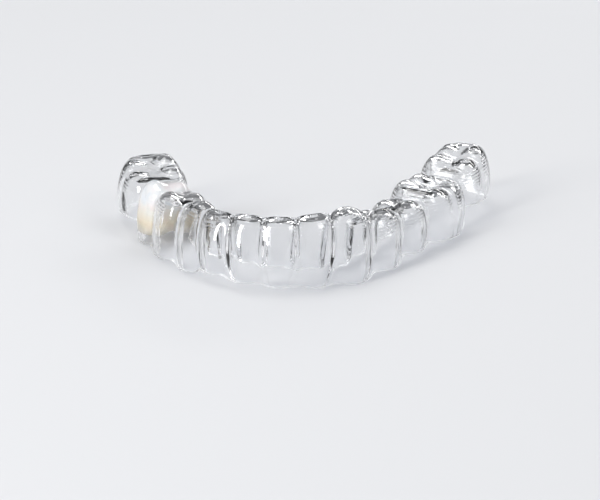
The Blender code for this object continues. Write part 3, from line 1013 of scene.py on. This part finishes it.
def tooth_white_material(low, high):
    material, nodes, links = new_material("tooth_white")
    shader = nodes["Principled BSDF"]
    shader.inputs["Roughness"].default_value = FILLING_ROUGHNESS
    place = nodes.new("ShaderNodeTexCoord").outputs["Object"]
    split = nodes.new("ShaderNodeSeparateXYZ")
    links.new(place, split.inputs["Vector"])
    height = map_range(nodes, split.outputs["Z"], low, high)
    body = colour_ramp(nodes, height, FILLING_BODY)
    cloud = nodes.new("ShaderNodeTexNoise")
    cloud.inputs["Scale"].default_value = CLOUD_SCALE
    links.new(place, cloud.inputs["Vector"])
    tints = colour_ramp(nodes, cloud.outputs["Fac"], CLOUD_TINTS)
    mixed = nodes.new("ShaderNodeMix")
    mixed.data_type = "RGBA"
    mixed.blend_type = "MULTIPLY"
    mixed.inputs["Factor"].default_value = 1.0
    links.new(body, mixed.inputs["A"])
    links.new(tints, mixed.inputs["B"])
    links.new(mixed.outputs["Result"], shader.inputs["Base Color"])
    links.new(map_range(nodes, height, *FILLING_FADE), shader.inputs["Alpha"])
    heights = (
        place_group(nodes, RIPPLE, place, Waves=FILLING_WAVES, Depth=1.0),
        place_group(nodes, LEVEL_LINES, place, Depth=FILLING_LINES),
    )
    bump_from(nodes, links, heights, FILLING_BUMP, FILLING_BUMP_STRENGTH, shader)
    return material


def filling_rings():
    """A ring of points at each station, and the middle of each ring."""
    crown = next(crown for crown in CROWNS if crown.tooth.name == FILLED_TOOTH)
    reach = crown.tooth.width / 2 - FILLING_END_GAP
    spots = crown.middle - reach * np.cos(np.pi * np.arange(FILLING_STATIONS + 1) / FILLING_STATIONS)
    point, _, out = arch_frame(spots)
    ones = np.ones(len(spots))
    index = np.arange(len(spots))
    foot = trim_height(spots, ones).min() + FILLING_FOOT + 0 * ones
    face, crest = skin(spots, Columns(point, out, index, spots, ones), foot, False, -BOND_DEPTH)
    back, _ = skin(spots, Columns(point, -out, index, spots, -ones), foot, False, -BOND_DEPTH)
    under = np.concatenate([point, (foot + FILLING_HOLLOW)[:, None]], axis=1)
    rings = np.concatenate([face, crest[:, None], back[:, ::-1], under[:, None]], axis=1)
    return rings, (crest + under) / 2


def filling_faces(count, size):
    """Quads between neighbouring rings, and a fan round a middle point that closes each end."""
    faces = []
    for station in range(count - 1):
        for k in range(size):
            after = (k + 1) % size
            here = station * size
            there = here + size
            faces.append([here + k, there + k, there + after, here + after])
    for end, (station, flip) in enumerate(((0, False), (count - 1, True))):
        centre = count * size + end
        for k in range(size):
            face = [station * size + k, station * size + (k + 1) % size, centre]
            faces.append(face[::-1] if flip else face)
    return faces


def add_filling():
    rings, middles = filling_rings()
    count, size = rings.shape[:2]
    points = np.concatenate([rings.reshape(-1, 3), middles[[0, -1]]])
    return new_object("tooth_filling", lay(points), filling_faces(count, size))


filling = add_filling()
heights = [vertex.co.z for vertex in filling.data.vertices]
filling.data.materials.append(tooth_white_material(min(heights), max(heights)))
filling.data.shade_smooth()
print("filling faces:", len(filling.data.polygons))
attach(filling, "root")
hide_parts("pontic_filling")

# %% [markdown]
# ## Floor and light
#
# Clear things have no colour of their own, so the surroundings draw them. The floor is pale and
# plain. A soft box above lights it evenly. A long strip behind gives the bright band along the
# biting edges, a tall one at the front gives the wet streak on the outer walls, and a soft box on
# the right keeps the shadows open. The world is a plain middle grey, which is what turns the steep
# edges of the sheet into thin dark lines on the pale floor.

# %% Floor, lamps and world
FLOOR_COLOUR = (0.74, 0.745, 0.76, 1.0)
FLOOR_ROUGHNESS = 0.7
FLOOR_SPECULAR = 0.2
FLOOR_SIZE = 6.0
WORLD_COLOUR = (0.2, 0.205, 0.215, 1.0)
# Name, place, width, depth and power
LAMPS = (
    ("top_softbox", (-0.15, 0.15, 0.6), 0.3, 0.3, 1.5),
    ("back_strip", (0.2, 0.5, 0.25), 0.5, 0.06, 1.0),
    ("front_strip", (-0.4, -0.4, 0.3), 0.12, 0.4, 3.0),
    ("side_softbox", (0.45, -0.2, 0.4), 0.2, 0.3, 1.0),
)


def add_floor():
    half = FLOOR_SIZE / 2
    corners = [(-half, -half, 0), (half, -half, 0), (half, half, 0), (-half, half, 0)]
    floor = new_object("floor", corners, [[0, 1, 2, 3]])
    material, nodes, _ = new_material("pale_floor")
    shader = nodes["Principled BSDF"]
    shader.inputs["Base Color"].default_value = FLOOR_COLOUR
    shader.inputs["Roughness"].default_value = FLOOR_ROUGHNESS
    shader.inputs["Specular IOR Level"].default_value = FLOOR_SPECULAR
    floor.data.materials.append(material)


def add_lamp(name, place, width, depth, power):
    """An area lamp that looks at the middle of the aligner."""
    data = bpy.data.lights.new(name, "AREA")
    data.shape = "RECTANGLE"
    data.size = width
    data.size_y = depth
    data.energy = power
    lamp = bpy.data.objects.new(name, data)
    bpy.context.scene.collection.objects.link(lamp)
    lamp.location = place
    lamp.rotation_euler = (-Vector(place)).to_track_quat("-Z", "Y").to_euler()


def add_world():
    world = bpy.data.worlds.new("studio")
    bpy.context.scene.world = world
    world.use_nodes = True
    world.node_tree.nodes["Background"].inputs["Color"].default_value = WORLD_COLOUR
    world.node_tree.nodes["Background"].inputs["Strength"].default_value = 1.0


add_floor()
for lamp in LAMPS:
    add_lamp(*lamp)
add_world()
bpy.context.scene.view_settings.view_transform = "Standard"
